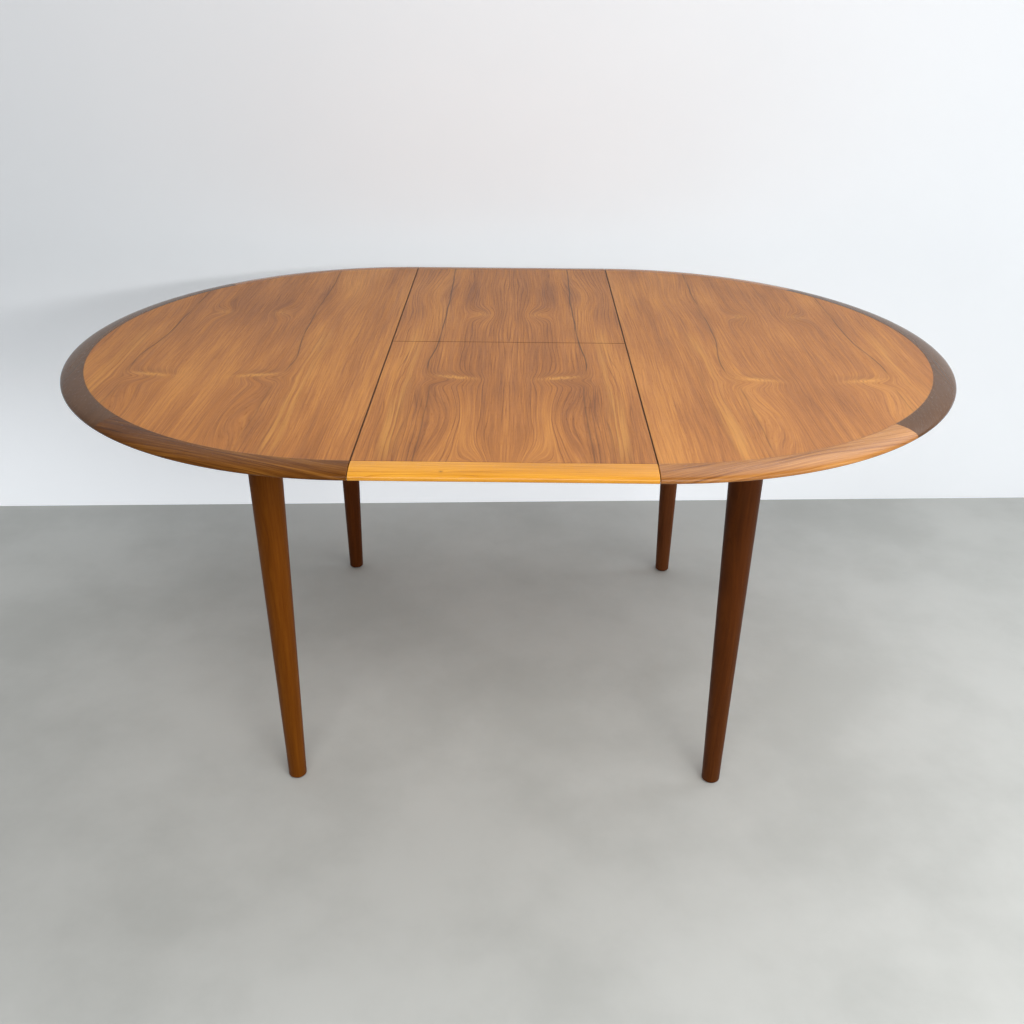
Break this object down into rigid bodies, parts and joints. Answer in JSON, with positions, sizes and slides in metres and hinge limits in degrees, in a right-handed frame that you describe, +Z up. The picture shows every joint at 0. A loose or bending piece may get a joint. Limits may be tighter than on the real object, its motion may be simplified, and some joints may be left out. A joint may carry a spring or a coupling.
{
  "type": "extension dining table",
  "caption": "Round-ended wooden extension dining table on tapered legs, with a centre leaf that folds and stows under the sliding half tops.",
  "frame": {"origin": "on the floor, under the centre of the table", "axes": "+X along the table's long axis, -Y to the front, +Z up"},
  "size_m": [1.65, 1.2, 0.73],
  "materials": {
    "top_veneer": "oiled satin",
    "leaf_veneer": "oiled satin",
    "dark_edging": "oiled satin",
    "brown_edging": "oiled satin",
    "red_edging": "oiled satin",
    "golden_edging": "oiled satin",
    "leg_wood": "oiled satin",
    "frame_wood": "planed, clear finish",
    "steel": "zinc plated",
    "brass": "satin",
    "nylon": "matt",
    "rubber": "matt",
    "dark_plastic": "matt"
  },
  "bodies": {
    "frame": {"frame_pivot_pins": "steel", "front_apron": "frame_wood", "front_inner_rail": "frame_wood", "front_left_corner_block": "frame_wood", "front_left_leg": "leg_wood", "front_outer_guide": "frame_wood", "front_right_corner_block": "frame_wood", "front_right_leg": "leg_wood", "leaf_bumpers": "rubber", "left_apron": "frame_wood", "left_bearer": "frame_wood", "leg_bolt_nuts": "steel", "leg_bolt_washers": "steel", "leg_bolts": "steel", "leg_glides": "dark_plastic", "pivot_spacers": "nylon", "rear_apron": "frame_wood", "rear_inner_rail": "frame_wood", "rear_left_corner_block": "frame_wood", "rear_left_leg": "leg_wood", "rear_outer_guide": "frame_wood", "rear_right_corner_block": "frame_wood", "rear_right_leg": "leg_wood", "right_apron": "frame_wood", "right_bearer": "frame_wood"},
    "left_top": {"left_end_edging": "dark_edging", "left_front_edging": "brown_edging", "left_front_runner": "frame_wood", "left_rear_edging": "brown_edging", "left_rear_runner": "frame_wood", "left_runner_screws": "steel", "left_stop_blocks": "frame_wood", "left_top_panel": "top_veneer"},
    "right_top": {"right_end_edging": "dark_edging", "right_front_edging": "red_edging", "right_front_runner": "frame_wood", "right_rear_edging": "red_edging", "right_rear_runner": "frame_wood", "right_runner_screws": "steel", "right_stop_blocks": "frame_wood", "right_top_panel": "top_veneer"},
    "rear_leaf": {"rear_leaf_panel": "leaf_veneer", "rear_leaf_edging": "brown_edging", "rear_hinge_cups": "brass", "leaf_brackets": "steel", "bracket_screws": "steel", "leaf_pivot_pins": "steel"},
    "front_leaf": {"front_leaf_panel": "leaf_veneer", "front_leaf_edging": "golden_edging", "front_hinge_cups": "brass"},
    "rear_links": {"rear_hinge_links": "brass"},
    "front_links": {"front_hinge_links": "brass"},
    "rear_arms": {"left_rear_arm": "steel", "right_rear_arm": "steel", "arm_tie_bar": "steel"},
    "front_arms": {"left_front_arm": "steel", "right_front_arm": "steel"}
  },
  "joints": [
    {"name": "left_top_slide", "type": "slide", "parent": "frame", "child": "left_top", "axis": [-1, 0, 0], "range_m": [0, 0.04]},
    {"name": "right_top_slide", "type": "slide", "parent": "frame", "child": "right_top", "axis": [1, 0, 0], "range_m": [0, 0.04]},
    {"name": "leaf_stow", "type": "hinge", "parent": "frame", "child": "rear_arms", "pos_m": [0, 0.14624, 0.65], "axis": [1, 0, 0], "range_deg": [0, 161.27]},
    {"name": "front_arm_swing", "type": "hinge", "parent": "frame", "child": "front_arms", "pos_m": [0, -0.0258, 0.65], "axis": [1, 0, 0], "range_deg": [0, 161.27]},
    {"name": "leaf_level", "type": "hinge", "parent": "rear_arms", "child": "rear_leaf", "pos_m": [0, 0.289, 0.6984], "axis": [1, 0, 0], "range_deg": [-161.27, 0]},
    {"name": "leaf_fold", "type": "hinge", "parent": "rear_leaf", "child": "front_leaf", "pos_m": [0, 0, 0.7303], "axis": [-1, 0, 0], "range_deg": [0, 180]},
    {"name": "rear_link_turn", "type": "hinge", "parent": "rear_leaf", "child": "rear_links", "pos_m": [0, 0, 0.7303], "axis": [-1, 0, 0], "range_deg": [0, 60]},
    {"name": "front_link_turn", "type": "hinge", "parent": "rear_leaf", "child": "front_links", "pos_m": [0, 0, 0.7303], "axis": [-1, 0, 0], "range_deg": [0, 120]}
  ],
  "couplings": [
    {"joint": "front_arm_swing", "follows": "leaf_stow", "ratio": 1},
    {"joint": "leaf_level", "follows": "leaf_stow", "ratio": -1},
    {"joint": "leaf_fold", "follows": "leaf_stow", "ratio": 1.1161},
    {"joint": "rear_link_turn", "follows": "leaf_stow", "ratio": 0.37204},
    {"joint": "front_link_turn", "follows": "leaf_stow", "ratio": 0.74408}
  ]
}
